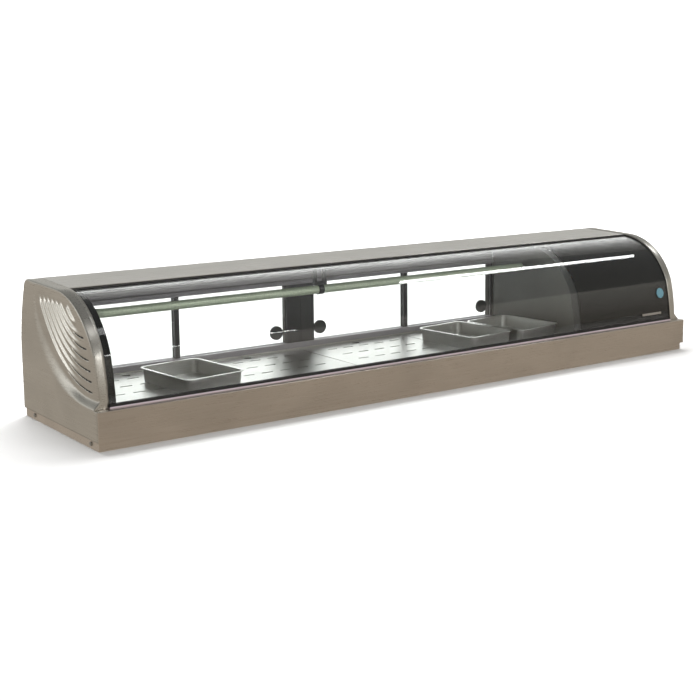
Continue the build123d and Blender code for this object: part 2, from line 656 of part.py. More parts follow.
HANGER_START, HANGER_END = 577, 607
HANGER_BAR = PIPE_Z + PIPE_RADIUS + 2.2
with BuildPart() as pipe_hanger:
    for start in (HANGER_START, HANGER_END - 7):
        block(start, start + 7, PIPE_SETBACK - 3, PIPE_SETBACK + 3, HANGER_BAR, BAY_CEILING)
    block(HANGER_START, HANGER_END, PIPE_SETBACK - 5, PIPE_SETBACK + 5, HANGER_BAR - 1.5, HANGER_BAR + 5)
    bore_across(PIPE_SETBACK, PIPE_Z, PIPE_RADIUS + 1.8, HANGER_START + 9, HANGER_END - 9, mode=Mode.ADD)
    bore_across(PIPE_SETBACK, PIPE_Z, PIPE_RADIUS + 0.2, HANGER_START + 9, HANGER_END - 9)
export(pipe_hanger, "pipe_hanger")

# Service panel at the rear of the machine compartment
SERVICE_START, SERVICE_END = PARTITION_START + 2, PANEL_END - 0.2
SERVICE_TOP = 222
KNOB_X, SWITCH_X, CONTROL_Z = 1277, 1235, 152
SHAFT_RADIUS = 3
SWITCH_WIDTH, SWITCH_HEIGHT = 20, 27
GLAND_X, GLAND_Z, GLAND_RADIUS = 1440, 82, 7
LOUVRE_X, LOUVRE_Z, LOUVRE_PITCH, LOUVRES = 1400, 145, 14, 7
with BuildPart() as service_panel:
    block(SERVICE_START, SERVICE_END, SERVICE_FACE - SHEET, SERVICE_FACE, SILL_TOP, SERVICE_TOP)
    bore_back(KNOB_X, CONTROL_Z, SHAFT_RADIUS + 1, SERVICE_FACE - 3, SERVICE_FACE + 1)
    bore_back(GLAND_X, GLAND_Z, GLAND_RADIUS + 0.2, SERVICE_FACE - 3, SERVICE_FACE + 1)
    with BuildSketch(face_plane(SERVICE_FACE - 3)):
        with Locations((SWITCH_X, CONTROL_Z)):
            Rectangle(SWITCH_WIDTH, SWITCH_HEIGHT)
        with Locations((LOUVRE_X, LOUVRE_Z)):
            with GridLocations(0, LOUVRE_PITCH, 1, LOUVRES):
                SlotOverall(96, 4)
        with Locations(((SERVICE_START + SERVICE_END) / 2, (SILL_TOP + SERVICE_TOP) / 2)):
            with GridLocations(SERVICE_END - SERVICE_START - 20, SERVICE_TOP - SILL_TOP - 20, 2, 2):
                Circle(SCREW_HOLE)
    extrude(amount=-5, mode=Mode.SUBTRACT)
export(service_panel, "service_panel")


def screw(plane, length):
    """Pan-head screw with a cross recess, head on the outer side of a plane."""
    with BuildSketch(plane) as shank:
        Circle(SCREW_RADIUS)
    extrude(shank.sketch, amount=-length)
    with BuildSketch(plane) as head:
        Circle(4)
    extrude(head.sketch, amount=2)
    with BuildSketch(plane.offset(1)) as cross:
        Rectangle(4.4, 1)
        Rectangle(1, 4.4)
    extrude(cross.sketch, amount=2, mode=Mode.SUBTRACT)


# Pan-head screws: two on each side of the plinth and four on the service panel
with BuildPart() as screws:
    for setback in PLINTH_SCREW_SETBACKS:
        screw(Plane(origin=place(3, setback, PLINTH_SCREW_Z), x_dir=(0, 1, 0), z_dir=(-1, 0, 0)), 5)
        screw(Plane(origin=place(WIDTH - 3, setback, PLINTH_SCREW_Z), x_dir=(0, 1, 0), z_dir=(1, 0, 0)), 5)
    for x in (SERVICE_START + 10, SERVICE_END - 10):
        for z in (SILL_TOP + 10, SERVICE_TOP - 10):
            screw(Plane(origin=place(x, SERVICE_FACE, z), x_dir=(1, 0, 0), z_dir=(0, 1, 0)), 6)
export(screws, "screws")

# Cable gland: threaded collar with a bore for the supply lead
with BuildPart() as cable_gland:
    bore_back(GLAND_X, GLAND_Z, GLAND_RADIUS, SERVICE_FACE - 8, SERVICE_FACE, mode=Mode.ADD)
    with BuildSketch(face_plane(SERVICE_FACE)):
        with Locations((GLAND_X, GLAND_Z)):
            RegularPolygon(10.5, 6)
    extrude(amount=-5)
    bore_back(GLAND_X, GLAND_Z, 8, SERVICE_FACE + 5, SERVICE_FACE + 13, mode=Mode.ADD)
    bore_back(GLAND_X, GLAND_Z, 4.2, SERVICE_FACE - 9, SERVICE_FACE + 14)
export(cable_gland, "cable_gland")

# Thermostat and its knob
KNOB_FACE = SERVICE_FACE + 1
THERMOSTAT_REAR = SERVICE_FACE - SHEET
with BuildPart() as thermostat:
    block(KNOB_X - 20, KNOB_X + 20, THERMOSTAT_REAR - 28, THERMOSTAT_REAR, CONTROL_Z - 20, CONTROL_Z + 20)
    fillet(thermostat.edges().filter_by(Axis.Y), 3)
    bore_back(KNOB_X, CONTROL_Z, SHAFT_RADIUS + 0.05, THERMOSTAT_REAR - 12, THERMOSTAT_REAR)
export(thermostat, "thermostat")

KNOB_RADIUS, KNOB_DEPTH = 14, 13
with BuildPart() as thermostat_knob:
    bore_back(KNOB_X, CONTROL_Z, SHAFT_RADIUS, THERMOSTAT_REAR - 11, KNOB_FACE, mode=Mode.ADD)
    with BuildSketch(face_plane(KNOB_FACE)):
        with Locations((KNOB_X, CONTROL_Z)):
            Circle(KNOB_RADIUS)
            with PolarLocations(KNOB_RADIUS + 1.2, 12):
                Circle(2.4, mode=Mode.SUBTRACT)
    extrude(amount=-KNOB_DEPTH)
    with BuildSketch(face_plane(KNOB_FACE + KNOB_DEPTH - 1)):
        with Locations((KNOB_X, CONTROL_Z + 7.5)):
            Rectangle(1.6, 8)
    extrude(amount=-2, mode=Mode.SUBTRACT)
export(thermostat_knob, "thermostat_knob")

# Power switch: housing with a bezel, and a rocker on a pin
BEZEL_REAR = SERVICE_FACE + 2
ROCKER_PIVOT = SERVICE_FACE - 3
ROCKER_HALF = 9
ROCKER_TILT = 7
with BuildPart() as switch_housing:
    block(SWITCH_X - SWITCH_WIDTH / 2 + 0.2, SWITCH_X + SWITCH_WIDTH / 2 - 0.2, SERVICE_FACE - 22, SERVICE_FACE,
          CONTROL_Z - SWITCH_HEIGHT / 2 + 0.2, CONTROL_Z + SWITCH_HEIGHT / 2 - 0.2)
    block(SWITCH_X - SWITCH_WIDTH / 2 - 2, SWITCH_X + SWITCH_WIDTH / 2 + 2, SERVICE_FACE, BEZEL_REAR,
          CONTROL_Z - SWITCH_HEIGHT / 2 - 2, CONTROL_Z + SWITCH_HEIGHT / 2 + 2)
    block(SWITCH_X - 7.5, SWITCH_X + 7.5, SERVICE_FACE - 14, BEZEL_REAR + 1, CONTROL_Z - 11.5, CONTROL_Z + 11.5,
          mode=Mode.SUBTRACT)
    bore_across(ROCKER_PIVOT, CONTROL_Z, 1.55, SWITCH_X - 8.6, SWITCH_X + 8.6)
export(switch_housing, "switch_housing")

with BuildPart() as switch_rocker:
    with BuildSketch(side_plane(SWITCH_X - 7)):
        with Locations(Location((ROCKER_PIVOT, CONTROL_Z), ROCKER_TILT)):
            Polygon((-3, -ROCKER_HALF), (6.5, -ROCKER_HALF), (5, 0), (6.5, ROCKER_HALF), (-3, ROCKER_HALF),
                    (-6, 0), align=None)
    extrude(amount=14)
    bore_across(ROCKER_PIVOT, CONTROL_Z, 1.5, SWITCH_X - 8.4, SWITCH_X + 8.4, mode=Mode.ADD)
export(switch_rocker, "switch_rocker")

# Compressor: a welded shell on a footed plate with rubber mounts, and its terminal box
COMPRESSOR_X, COMPRESSOR_SETBACK, COMPRESSOR_RADIUS = 1250, 122, 56
MOUNT_HEIGHT = 10
PLATE_TOP = BASE_TOP + MOUNT_HEIGHT + 2.5
SHELL_TOP = 172
STUB_TOP = 184
DISCHARGE_STUB = (1272, 132)
SUCTION_STUB = (1230, 104)
MOUNT_SPAN_X, MOUNT_SPAN_Y = 112, 88
with BuildPart() as compressor:
    with BuildSketch(plan_plane(PLATE_TOP - 2.5)):
        with Locations((COMPRESSOR_X, COMPRESSOR_SETBACK)):
            RectangleRounded(MOUNT_SPAN_X + 24, MOUNT_SPAN_Y + 24, 12)
            with GridLocations(MOUNT_SPAN_X, MOUNT_SPAN_Y, 2, 2):
                Circle(4.2, mode=Mode.SUBTRACT)
    extrude(amount=2.5)
    with BuildSketch(plan_plane(PLATE_TOP)):
        with Locations((COMPRESSOR_X, COMPRESSOR_SETBACK)):
            Circle(COMPRESSOR_RADIUS)
    extrude(amount=SHELL_TOP - PLATE_TOP)
    fillet(compressor.edges().group_by(Axis.Z)[-1], 26)
    with BuildSketch(plan_plane((PLATE_TOP + SHELL_TOP) / 2)):
        with Locations((COMPRESSOR_X, COMPRESSOR_SETBACK)):
            Circle(COMPRESSOR_RADIUS + 1.5)
    extrude(amount=5)
    with BuildSketch(plan_plane(SHELL_TOP - 30)):
        with Locations(DISCHARGE_STUB, SUCTION_STUB):
            Circle(LINE_RADIUS + 1)
    extrude(amount=STUB_TOP - SHELL_TOP + 30)
export(compressor, "compressor")

with BuildPart() as compressor_mounts:
    with BuildSketch(plan_plane(BASE_TOP)):
        with Locations((COMPRESSOR_X, COMPRESSOR_SETBACK)):
            with GridLocations(MOUNT_SPAN_X, MOUNT_SPAN_Y, 2, 2):
                Circle(11)
    extrude(amount=MOUNT_HEIGHT)
    with BuildSketch(plan_plane(BASE_TOP + MOUNT_HEIGHT)):
        with Locations((COMPRESSOR_X, COMPRESSOR_SETBACK)):
            with GridLocations(MOUNT_SPAN_X, MOUNT_SPAN_Y, 2, 2):
                Circle(4)
    extrude(amount=2.5)
export(compressor_mounts, "compressor_mounts")

with BuildPart() as terminal_box:
    block(COMPRESSOR_X + 48, COMPRESSOR_X + 78, COMPRESSOR_SETBACK - 24, COMPRESSOR_SETBACK + 24, 56, 92)
    fillet(terminal_box.edges().filter_by(Axis.X), 4)
    with BuildSketch(plan_plane(50)):
        with Locations((COMPRESSOR_X, COMPRESSOR_SETBACK)):
            Circle(COMPRESSOR_RADIUS + 0.05)
    extrude(amount=50, mode=Mode.SUBTRACT)
export(terminal_box, "terminal_box")

# Condenser: finned block with cross tubes and return bends outside the end plates
CONDENSER_START, CONDENSER_END = 1345, 1455
CONDENSER_FRONT, CONDENSER_REAR = 262, 292
CONDENSER_BOTTOM, CONDENSER_TOP = 30, 200
TUBE_ROWS = 6
TUBE_RADIUS = 4
FINS = 19
TUBE_PITCH = (CONDENSER_TOP - CONDENSER_BOTTOM - 30) / (TUBE_ROWS - 1)
TUBE_SETBACK = (CONDENSER_FRONT + CONDENSER_REAR) / 2
TUBE_HEIGHTS = [CONDENSER_BOTTOM + 15 + TUBE_PITCH * row for row in range(TUBE_ROWS)]
FIN_PITCH = (CONDENSER_END - CONDENSER_START - 1.2) / (FINS - 1)
STUB_END = CONDENSER_START - 8
with BuildPart() as condenser:
    for fin in range(FINS):
        start = CONDENSER_START + fin * FIN_PITCH
        block(start, start + 1.2, CONDENSER_FRONT, CONDENSER_REAR, CONDENSER_BOTTOM, CONDENSER_TOP)
    for z in TUBE_HEIGHTS:
        bore_across(TUBE_SETBACK, z, TUBE_RADIUS, STUB_END, CONDENSER_END + 4, mode=Mode.ADD)
    for leg in (CONDENSER_FRONT, CONDENSER_REAR - 3):
        block(CONDENSER_START, CONDENSER_END, leg, leg + 3, BASE_TOP, CONDENSER_BOTTOM + 4)
export(condenser, "condenser")

# Fan: shroud with a round mouth, motor on three arms, and a four-blade rotor
FAN_X, FAN_Z = (CONDENSER_START + CONDENSER_END) / 2, 112
SHROUD_FRONT = CONDENSER_FRONT - 22
FAN_RADIUS, MOUTH_RADIUS = 44, 48
with BuildPart() as fan_shroud:
    block(CONDENSER_START, CONDENSER_END, SHROUD_FRONT, CONDENSER_FRONT, CONDENSER_BOTTOM, CONDENSER_TOP)
    block(CONDENSER_START + SHEET, CONDENSER_END - SHEET, SHROUD_FRONT + SHEET, CONDENSER_FRONT,
          CONDENSER_BOTTOM + SHEET, CONDENSER_TOP - SHEET, mode=Mode.SUBTRACT)
    bore_back(FAN_X, FAN_Z, MOUTH_RADIUS, SHROUD_FRONT, SHROUD_FRONT + SHEET)
export(fan_shroud, "fan_shroud")

MOTOR_REAR = SHROUD_FRONT - 12
MOTOR_FRONT = MOTOR_REAR - 36
ARM_REACH = MOUTH_RADIUS + 3
with BuildPart() as fan_motor:
    bore_back(FAN_X, FAN_Z, 21, MOTOR_FRONT, MOTOR_REAR, mode=Mode.ADD)
    fillet(fan_motor.edges().filter_by(GeomType.CIRCLE), 3)
    with BuildSketch(face_plane(MOTOR_REAR - 8)):
        with Locations((FAN_X, FAN_Z)):
            with PolarLocations(0, 3, start_angle=90):
                with Locations((ARM_REACH / 2 + 8, 0)):
                    Rectangle(ARM_REACH - 16, 8)
    extrude(amount=3)
    with BuildSketch(face_plane(MOTOR_REAR - 11)):
        with Locations((FAN_X, FAN_Z)):
            with PolarLocations(0, 3, start_angle=90):
                with Locations((ARM_REACH - 1.5, 0)):
                    Rectangle(3, 8)
    extrude(amount=MOTOR_REAR - 11 - SHROUD_FRONT)
    bore_back(FAN_X, FAN_Z, 2.55, MOTOR_REAR - 12, MOTOR_REAR)
export(fan_motor, "fan_motor")

HUB_FRONT, HUB_REAR = MOTOR_REAR + 1.5, MOTOR_REAR + 15
BLADE_PITCH = 32
with BuildPart() as fan_rotor:
    bore_back(FAN_X, FAN_Z, 12, HUB_FRONT, HUB_REAR, mode=Mode.ADD)
    bore_back(FAN_X, FAN_Z, 2.5, MOTOR_REAR - 11, HUB_FRONT, mode=Mode.ADD)
    for blade in range(4):
        angle = radians(90 * blade)
        tangent = Vector(-sin(angle), 0, cos(angle))
        spoke = Plane(
            origin=place(FAN_X, (HUB_FRONT + HUB_REAR) / 2, FAN_Z),
            x_dir=(cos(angle), 0, sin(angle)),
            z_dir=Vector(0, -1, 0) * cos(radians(BLADE_PITCH)) + tangent * sin(radians(BLADE_PITCH)),
        )
        with BuildSketch(spoke.offset(-0.6)):
            with BuildLine():
                CenterArc((0, 0), FAN_RADIUS, -26, 52)
                Line((FAN_RADIUS * cos(radians(26)), FAN_RADIUS * sin(radians(26))), (8, 5))
                Line((8, 5), (8, -5))
                Line((8, -5), (FAN_RADIUS * cos(radians(26)), -FAN_RADIUS * sin(radians(26))))
            make_face()
        extrude(amount=1.2)
export(fan_rotor, "fan_rotor")

# Filter drier and the copper lines between compressor, condenser, drier and bay
DRIER_X, DRIER_BOTTOM, DRIER_TOP = 1205, 74, 156
with BuildPart() as filter_drier:
    with BuildSketch(plan_plane(DRIER_BOTTOM)):
        with Locations((DRIER_X, LIQUID_SETBACK)):
            Circle(10)
    extrude(amount=DRIER_TOP - DRIER_BOTTOM)
    chamfer(filter_drier.edges().filter_by(GeomType.CIRCLE), 5)
    with BuildSketch(plan_plane(DRIER_BOTTOM - 8)):
        with Locations((DRIER_X, LIQUID_SETBACK)):
            Circle(4.5)
    extrude(amount=DRIER_TOP - DRIER_BOTTOM + 16)
export(filter_drier, "filter_drier")

LINE_Z = 208
with BuildPart() as copper_lines:
    for points, bend in (
        (
            [
                place(*DISCHARGE_STUB, STUB_TOP),
                place(*DISCHARGE_STUB, LINE_Z),
                place(DISCHARGE_STUB[0], TUBE_SETBACK, LINE_Z),
                place(1325, TUBE_SETBACK, LINE_Z),
                place(1325, TUBE_SETBACK, TUBE_HEIGHTS[-1]),
                place(STUB_END, TUBE_SETBACK, TUBE_HEIGHTS[-1]),
            ],
            [12, 12, 10, 8],
        ),
        (
            [
                place(STUB_END, TUBE_SETBACK, TUBE_HEIGHTS[0]),
                place(DRIER_X, LIQUID_SETBACK, TUBE_HEIGHTS[0]),
                place(DRIER_X, LIQUID_SETBACK, DRIER_BOTTOM - 8),
            ],
            [10],
        ),
        (
            [
                place(DRIER_X, LIQUID_SETBACK, DRIER_TOP + 8),
                place(DRIER_X, LIQUID_SETBACK, LIQUID_Z),
                place(PARTITION_START + 2, LIQUID_SETBACK, LIQUID_Z),
            ],
            [10],
        ),
        (
            [
                place(PARTITION_START + 2, SUCTION_SETBACK, SUCTION_Z),
                place(SUCTION_STUB[0], SUCTION_SETBACK, SUCTION_Z),
                place(*SUCTION_STUB, SUCTION_Z),
                place(*SUCTION_STUB, STUB_TOP),
            ],
            [12, 9],
        ),
    ):
        with BuildLine() as line_path:
            FilletPolyline(*points, radius=bend)
        with BuildSketch(Plane(origin=line_path.line @ 0, z_dir=line_path.line % 0)):
            Circle(LINE_RADIUS)
            Circle(LINE_RADIUS - 0.8, mode=Mode.SUBTRACT)
        sweep(path=line_path.line)
export(copper_lines, "copper_lines")

# Display trays: pressed pans with a flat rim that rest on the deck
TRAY_WIDTH, TRAY_DEPTH, TRAY_HEIGHT = 135, 170, 28
TRAY_SHEET = 1
TRAY_TURN = 6
TRAY_PLACES = ((1, 256, 140), (2, 938, 140), (3, 1078, 142))
for number, tray_x, tray_setback in TRAY_PLACES:
    tray_plane = Plane(origin=place(tray_x, tray_setback, DECK_TOP)).rotated((0, 0, TRAY_TURN))
    with BuildPart() as tray:
        with BuildSketch(tray_plane):
            RectangleRounded(TRAY_WIDTH - 12, TRAY_DEPTH - 12, 12)
        with BuildSketch(tray_plane.offset(TRAY_HEIGHT - TRAY_SHEET)):
            RectangleRounded(TRAY_WIDTH - 8, TRAY_DEPTH - 8, 13)
        loft()
        with BuildSketch(tray_plane.offset(TRAY_HEIGHT - TRAY_SHEET)):
            RectangleRounded(TRAY_WIDTH, TRAY_DEPTH, 16)
        extrude(amount=TRAY_SHEET)
        with BuildSketch(tray_plane.offset(TRAY_SHEET)):
            RectangleRounded(TRAY_WIDTH - 14, TRAY_DEPTH - 14, 11)
        with BuildSketch(tray_plane.offset(TRAY_HEIGHT)):
            RectangleRounded(TRAY_WIDTH - 10, TRAY_DEPTH - 10, 12)
        loft(mode=Mode.SUBTRACT)
    export(tray, f"tray_{number}")

# Blank round badge and blank bar on the glass
BADGE_THICK = 0.8
with BuildPart() as glass_badge:
    with BuildSketch(side_plane(1420)):
        curve_strip(-BADGE_THICK, 0)
    extrude(amount=46)
    bore_back(1443, 138, 11.5, 0, 60, mode=Mode.INTERSECT)
export(glass_badge, "glass_badge")

with BuildPart() as name_bar:
    with BuildSketch(side_plane(1376)):
        curve_strip(-BADGE_THICK, 0)
        rectangle(0, 0, 60, 90, mode=Mode.SUBTRACT)
        rectangle(0, 95, DEPTH, HEIGHT, mode=Mode.SUBTRACT)
    extrude(amount=64)
export(name_bar, "name_bar")
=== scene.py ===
import math

import bmesh
import bpy
import numpy as np
from mathutils import Matrix, Vector


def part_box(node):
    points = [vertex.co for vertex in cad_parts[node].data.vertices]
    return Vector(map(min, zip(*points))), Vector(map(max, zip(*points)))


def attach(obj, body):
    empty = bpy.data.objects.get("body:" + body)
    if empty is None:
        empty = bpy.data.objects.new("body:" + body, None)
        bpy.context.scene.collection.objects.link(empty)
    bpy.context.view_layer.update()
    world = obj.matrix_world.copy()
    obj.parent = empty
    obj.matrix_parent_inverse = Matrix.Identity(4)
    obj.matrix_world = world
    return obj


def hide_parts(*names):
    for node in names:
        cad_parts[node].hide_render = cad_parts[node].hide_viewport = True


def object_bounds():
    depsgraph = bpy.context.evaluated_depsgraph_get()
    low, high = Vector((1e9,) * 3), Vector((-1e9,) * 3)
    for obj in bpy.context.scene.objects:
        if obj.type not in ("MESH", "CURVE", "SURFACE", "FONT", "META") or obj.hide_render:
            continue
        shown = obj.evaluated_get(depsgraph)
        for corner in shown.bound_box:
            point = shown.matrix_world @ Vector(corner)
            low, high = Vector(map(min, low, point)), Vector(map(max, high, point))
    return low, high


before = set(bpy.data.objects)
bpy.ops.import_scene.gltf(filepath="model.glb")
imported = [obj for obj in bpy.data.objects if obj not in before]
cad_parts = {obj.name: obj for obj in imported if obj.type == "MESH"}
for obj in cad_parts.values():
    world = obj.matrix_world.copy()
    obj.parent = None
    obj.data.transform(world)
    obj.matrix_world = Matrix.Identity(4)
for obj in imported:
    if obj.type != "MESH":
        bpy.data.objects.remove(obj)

# Lengths in the shape code are millimetres: x to the right of the left end, s behind the front skirt and
# z above the counter. make_piece() turns them into the row frame's metres.
CAD_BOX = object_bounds()
LEFT, FRONT = CAD_BOX[0].x, CAD_BOX[0].y
WIDTH = (CAD_BOX[1].x - CAD_BOX[0].x) * 1000


def smoothstep(low, high, value):
    """0 below low, 1 above high, and smooth between."""
    t = np.clip((value - low) / (high - low), 0, 1)
    return t * t * (3 - 2 * t)


# ---------------------------------------------------------------- materials


class Nodes:
    """A material's node tree with short ways to add and join nodes."""

    def __init__(self, name):
        self.material = bpy.data.materials.new(name)
        self.material.use_nodes = True
        self.tree = self.material.node_tree
        self.shader = self.tree.nodes["Principled BSDF"]
        self.output = self.tree.nodes["Material Output"]

    def add(self, kind, **inputs):
        node = self.tree.nodes.new(kind)
        for key, value in inputs.items():
            node.inputs[key.replace("_", " ")].default_value = value
        return node

    def join(self, source, target):
        self.tree.links.new(source, target)

    def places(self, scale):
        """Object coordinates stretched by a scale along each axis."""
        where = self.add("ShaderNodeTexCoord")
        mapping = self.add("ShaderNodeMapping", Scale=scale)
        self.join(where.outputs["Object"], mapping.inputs["Vector"])
        return mapping.outputs["Vector"]

    def noise(self, scale, detail=3.0, roughness=0.55, distortion=0.0):
        node = self.add("ShaderNodeTexNoise", Scale=1.0, Detail=detail, Roughness=roughness,
                        Distortion=distortion)
        self.join(self.places(scale), node.inputs["Vector"])
        return node.outputs["Fac"]

    def ramp(self, source, stops):
        """Colour ramp over (position, colour) stops."""
        node = self.add("ShaderNodeValToRGB")
        while len(node.color_ramp.elements) < len(stops):
            node.color_ramp.elements.new(0.5)
        for element, (position, colour) in zip(node.color_ramp.elements, stops):
            element.position = position
            element.color = (*colour, 1)
        self.join(source, node.inputs["Fac"])
        return node.outputs["Color"]

    def blend(self, kind, factor, a, b):
        """Mixes two colour outputs."""
        node = self.add("ShaderNodeMixRGB", Fac=factor)
        node.blend_type = kind
        self.join(a, node.inputs["Color1"])
        self.join(b, node.inputs["Color2"])
        return node.outputs["Color"]

    def spread(self, source, low, high, start=0.3, end=0.7):
        """Maps a 0 to 1 output to a narrow range."""
        node = self.add("ShaderNodeMapRange")
        for key, value in (("From Min", start), ("From Max", end), ("To Min", low), ("To Max", high)):
            node.inputs[key].default_value = value
        self.join(source, node.inputs["Value"])
        return node.outputs["Result"]

    def bump(self, source, strength, distance):
        node = self.add("ShaderNodeBump", Strength=strength, Distance=distance)
        self.join(source, node.inputs["Height"])
        self.join(node.outputs["Normal"], self.shader.inputs["Normal"])

    def set(self, **values):
        """Plain values on the shader's own sockets."""
        for key, value in values.items():
            self.shader.inputs[key.replace("_", " ")].default_value = value


def shades(colour, change):
    """Darker and lighter versions of a colour."""
    return [tuple(min(1.0, c * (1 + k * change)) for c in colour) for k in (-1, 1)]


def brushed(name, colour, along, rough=(0.24, 0.40), change=0.10, grain=620.0, strength=0.35):
    """Brushed sheet: fine streaks along one axis, soft smudges, and roughness that follows the grain."""
    n = Nodes(name)
    scale = tuple(9.0 if axis == along else grain for axis in "xyz")
    streaks = n.noise(scale, detail=4.0, roughness=0.7)
    smudges = n.noise((5.0, 7.0, 9.0), detail=2.0, distortion=0.6)
    dark, light = shades(colour, change)
    grain_colour = n.ramp(streaks, [(0.30, dark), (0.70, light)])
    cloud = n.ramp(smudges, [(0.35, (0.90, 0.90, 0.90)), (0.65, (1.0, 1.0, 1.0))])
    n.join(n.blend("MULTIPLY", 1.0, grain_colour, cloud), n.shader.inputs["Base Color"])
    n.join(n.spread(streaks, rough[0], rough[1]), n.shader.inputs["Roughness"])
    n.bump(streaks, strength, 0.00006)
    n.set(Metallic=1.0)
    return n.material


def speckled(name, colour, rough=(0.35, 0.5), change=0.06, scale=900.0, metallic=0.0, strength=0.25,
             depth=0.0001, specular=0.5):
    """Moulded, painted or cast surface: fine mottling in colour, roughness and relief."""
    n = Nodes(name)
    fine = n.noise((scale,) * 3, detail=2.0)
    broad = n.noise((14.0, 14.0, 14.0), detail=2.0)
    dark, light = shades(colour, change)
    mottle = n.ramp(fine, [(0.35, dark), (0.65, light)])
    cloud = n.ramp(broad, [(0.35, (0.92, 0.92, 0.92)), (0.65, (1.0, 1.0, 1.0))])
    n.join(n.blend("MULTIPLY", 1.0, mottle, cloud), n.shader.inputs["Base Color"])
    n.join(n.spread(fine, rough[0], rough[1]), n.shader.inputs["Roughness"])
    n.bump(fine, strength, depth)
    n.set(Metallic=metallic, Specular_IOR_Level=specular)
    return n.material


def glass(name, tint, ior=1.45):
    """Clear sheet glass that lets lamps through, with the faintest unevenness in its polish."""
    n = Nodes(name)
    haze = n.noise((40.0, 40.0, 40.0), detail=2.0)
    n.join(n.spread(haze, 0.0, 0.006), n.shader.inputs["Roughness"])
    n.join(n.ramp(haze, [(0.2, tint), (0.8, tuple(min(1.0, c + 0.01) for c in tint))]),
           n.shader.inputs["Base Color"])
    n.set(Transmission_Weight=1.0, IOR=ior)
    path = n.add("ShaderNodeLightPath")
    either = n.add("ShaderNodeMath")
    either.operation = "MAXIMUM"
    clear = n.add("ShaderNodeBsdfTransparent", Color=(0.94, 0.96, 0.95, 1))
    mix = n.add("ShaderNodeMixShader")
    n.join(path.outputs["Is Shadow Ray"], either.inputs[0])
    n.join(path.outputs["Is Diffuse Ray"], either.inputs[1])
    n.join(either.outputs[0], mix.inputs[0])
    n.join(n.shader.outputs[0], mix.inputs[1])
    n.join(clear.outputs[0], mix.inputs[2])
    n.join(mix.outputs[0], n.output.inputs["Surface"])
    return n.material


def paint_edge_shade(material):
    """Painted shade: darkens every face that doesn't look along the case, so that a wall's edges look dark.
    """
    nodes, links = material.node_tree.nodes, material.node_tree.links
    shader = nodes["Principled BSDF"]
    surface = nodes.new("ShaderNodeNewGeometry")
    split = nodes.new("ShaderNodeSeparateXYZ")
    across = nodes.new("ShaderNodeMath")
    across.operation = "ABSOLUTE"
    # painted shade: faces whose normal doesn't run along x are mixed towards near black
    painted_edge_shade = nodes.new("ShaderNodeMixRGB")
    painted_edge_shade.inputs["Color1"].default_value = (0.012, 0.012, 0.012, 1)
    links.new(surface.outputs["True Normal"], split.inputs[0])
    links.new(split.outputs["X"], across.inputs[0])
    links.new(across.outputs[0], painted_edge_shade.inputs["Fac"])
    links.new(shader.inputs["Base Color"].links[0].from_socket, painted_edge_shade.inputs["Color2"])
    links.new(painted_edge_shade.outputs[0], shader.inputs["Base Color"])
    return material


def two_tone(name, lower, upper, height):
    """Extruded seal with a pale lip below a height and dark rubber above it."""
    n = Nodes(name)
    where = n.add("ShaderNodeTexCoord")
    split = n.add("ShaderNodeSeparateXYZ")
    n.join(where.outputs["Object"], split.inputs["Vector"])
    share = n.spread(split.outputs["Z"], 0.0, 1.0, height - 0.0002, height + 0.0002)
    fine = n.noise((900.0,) * 3, detail=2.0)
    n.join(n.ramp(share, [(0.0, lower), (1.0, upper)]), n.shader.inputs["Base Color"])
    n.join(n.spread(fine, 0.4, 0.55), n.shader.inputs["Roughness"])
    n.bump(fine, 0.25, 0.0001)
    return n.material


def galvanised(name):
    """Zinc-coated sheet with its crystal pattern."""
    n = Nodes(name)
    cells = n.add("ShaderNodeTexVoronoi", Scale=1.0)
    n.join(n.places((160.0, 160.0, 160.0)), cells.inputs["Vector"])
    tone = n.ramp(cells.outputs["Color"], [(0.2, (0.40, 0.42, 0.43)), (0.8, (0.56, 0.57, 0.57))])
    n.join(tone, n.shader.inputs["Base Color"])
    n.join(n.spread(cells.outputs["Distance"], 0.38, 0.55, 0.0, 1.0), n.shader.inputs["Roughness"])
    n.bump(cells.outputs["Distance"], 0.15, 0.0001)
    n.set(Metallic=0.9)
    return n.material


def foam(name):
    """Rigid foam: pale, with small open cells."""
    n = Nodes(name)
    cells = n.add("ShaderNodeTexVoronoi", Scale=1.0)
    n.join(n.places((420.0, 420.0, 420.0)), cells.inputs["Vector"])
    tone = n.ramp(cells.outputs["Distance"], [(0.0, (0.42, 0.36, 0.22)), (0.7, (0.70, 0.63, 0.44))])
    n.join(tone, n.shader.inputs["Base Color"])
    n.join(n.spread(cells.outputs["Distance"], 0.75, 0.95, 0.0, 1.0), n.shader.inputs["Roughness"])
    n.bump(cells.outputs["Distance"], 0.5, 0.0006)
    return n.material


